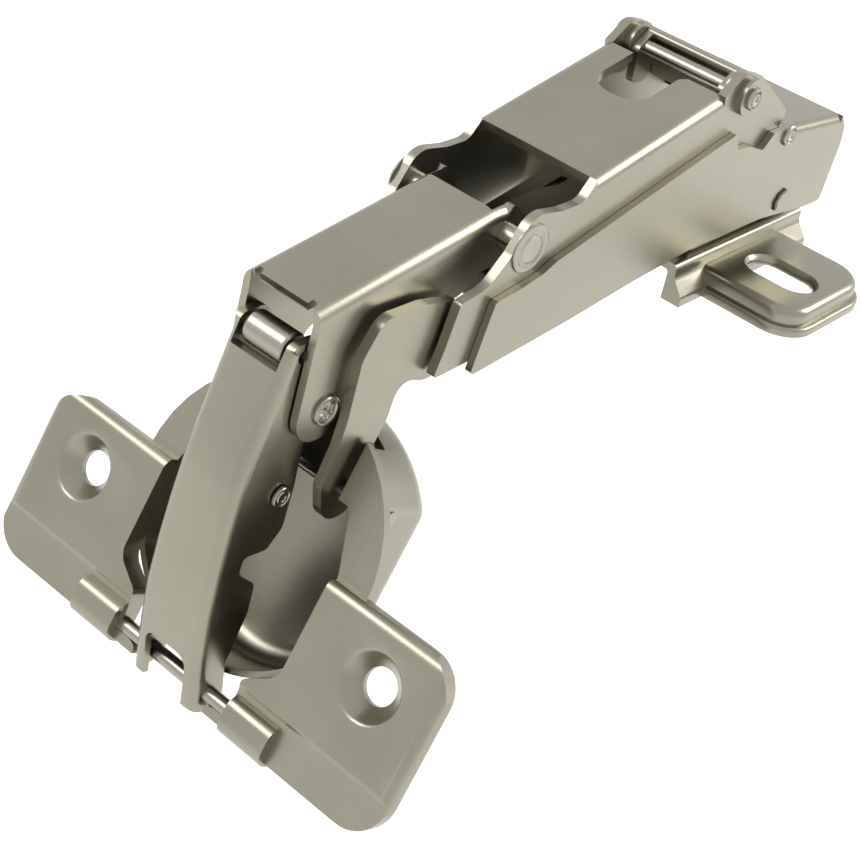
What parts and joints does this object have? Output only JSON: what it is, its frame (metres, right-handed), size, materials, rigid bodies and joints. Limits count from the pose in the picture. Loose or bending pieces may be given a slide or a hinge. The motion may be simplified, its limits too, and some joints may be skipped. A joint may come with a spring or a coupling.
{
  "type": "concealed cabinet hinge",
  "caption": "Wide-angle concealed cabinet hinge with a cup for the door, a folding linkage and a clip-on arm on a winged mounting plate, shown fully open.",
  "frame": {"origin": "underside of the mounting plate, midway between its two screw slots", "axes": "+X along the arm towards its rear, +Z away from the cabinet side, the hinge axes along Y"},
  "size_m": [0.1099, 0.0666, 0.0669],
  "materials": {
    "mounting_plate": "satin nickel plate",
    "clip_saddle": "satin nickel plate",
    "arm_channel": "satin nickel plate",
    "arm_cover": "satin nickel plate",
    "knee_rivet": "satin nickel plate",
    "stay_rivet": "satin nickel plate",
    "rear_pin": "satin nickel plate",
    "washer_outer_far": "satin nickel plate",
    "washer_outer_near": "satin nickel plate",
    "washer_inner_far": "satin nickel plate",
    "washer_inner_near": "satin nickel plate",
    "release_lever": "satin nickel plate",
    "middle_channel": "satin nickel plate",
    "channel_liner": "satin nickel plate",
    "elbow_rivet": "satin nickel plate",
    "outer_link": "satin nickel plate",
    "roller_pin": "satin nickel plate",
    "link_rivet": "satin nickel plate",
    "roller": "satin nickel plate",
    "cup": "satin nickel plate",
    "front_axle": "satin nickel plate",
    "inner_axle": "satin nickel plate",
    "side_lever_near": "satin nickel plate",
    "side_lever_far": "satin nickel plate",
    "lever_tie_pin": "satin nickel plate"
  },
  "bodies": {
    "arm": {"mounting_plate": "mounting_plate", "clip_saddle": "clip_saddle", "arm_channel": "arm_channel", "arm_cover": "arm_cover", "knee_rivet": "knee_rivet", "stay_rivet": "stay_rivet", "rear_pin": "rear_pin", "washer_outer_far": "washer_outer_far", "washer_outer_near": "washer_outer_near", "washer_inner_far": "washer_inner_far", "washer_inner_near": "washer_inner_near"},
    "release": {"release_lever": "release_lever"},
    "middle": {"middle_channel": "middle_channel", "channel_liner": "channel_liner", "elbow_rivet": "elbow_rivet"},
    "link": {"outer_link": "outer_link", "roller_pin": "roller_pin", "link_rivet": "link_rivet"},
    "roller": {"roller": "roller"},
    "cup": {"cup": "cup", "front_axle": "front_axle", "inner_axle": "inner_axle"},
    "levers": {"side_lever_near": "side_lever_near", "side_lever_far": "side_lever_far", "lever_tie_pin": "lever_tie_pin"}
  },
  "joints": [
    {"name": "knee", "type": "hinge", "parent": "arm", "child": "middle", "pos_m": [-0.0522, 0, 0.0196], "axis": [0, 1, 0], "range_deg": [0, 134]},
    {"name": "elbow", "type": "hinge", "parent": "middle", "child": "link", "pos_m": [-0.0785, 0, 0.0054], "axis": [0, 1, 0], "range_deg": [-109.45, 0]},
    {"name": "toe", "type": "hinge", "parent": "link", "child": "cup", "pos_m": [-0.09, 0, -0.03], "axis": [0, 1, 0], "range_deg": [0, 128.45]},
    {"name": "heel", "type": "hinge", "parent": "cup", "child": "levers", "pos_m": [-0.0744, 0, -0.0062], "axis": [0, 1, 0], "range_deg": [-174.05, 0]},
    {"name": "roller_spin", "type": "hinge", "parent": "link", "child": "roller", "pos_m": [-0.0819, 0, 0.0127], "axis": [0, 1, 0], "continuous": true},
    {"name": "release", "type": "hinge", "parent": "arm", "child": "release", "pos_m": [-0.012, 0, 0.0297], "axis": [0, 1, 0], "range_deg": [-20, 0], "stiffness_Nm_per_rad": 0.05}
  ],
  "couplings": [
    {"joint": "elbow", "follows": "knee", "ratio": -0.81642},
    {"joint": "toe", "follows": "knee", "ratio": 0.95821},
    {"joint": "heel", "follows": "knee", "ratio": -1.2985}
  ]
}
